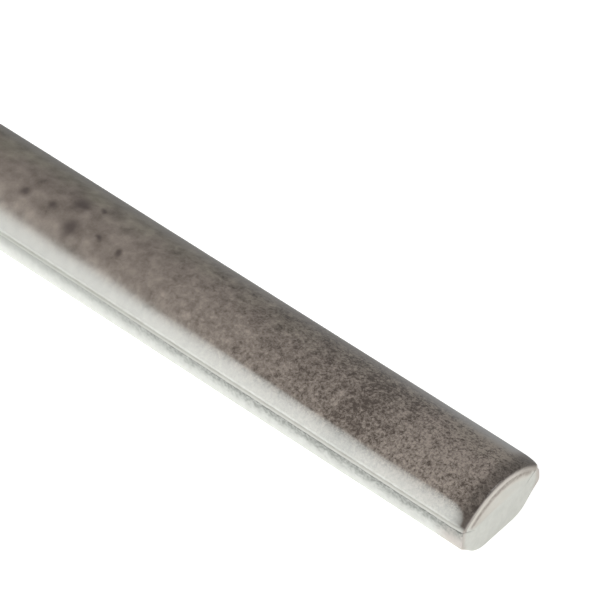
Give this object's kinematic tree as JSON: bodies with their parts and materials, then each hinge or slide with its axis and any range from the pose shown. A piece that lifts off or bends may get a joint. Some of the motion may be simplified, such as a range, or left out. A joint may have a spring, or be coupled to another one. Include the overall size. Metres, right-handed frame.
{
  "type": "quarter round tile",
  "caption": "Straight quarter round ceramic trim tile with a glazed convex face and a flat unglazed back, for finishing the corner or edge of tilework.",
  "frame": {"origin": "middle of the flat back, halfway along the length", "axes": "+X along the length; +Y across the width; +Z from the flat back to the crown of the round face"},
  "size_m": [0.1524, 0.019, 0.0124],
  "materials": {
    "glazed_body": "glossy mottled taupe glaze on the round face, matte off-white fired body on the back, legs and ends"
  },
  "bodies": {
    "root": {"quarter_round_tile": "glazed_body"}
  },
  "joints": []
}
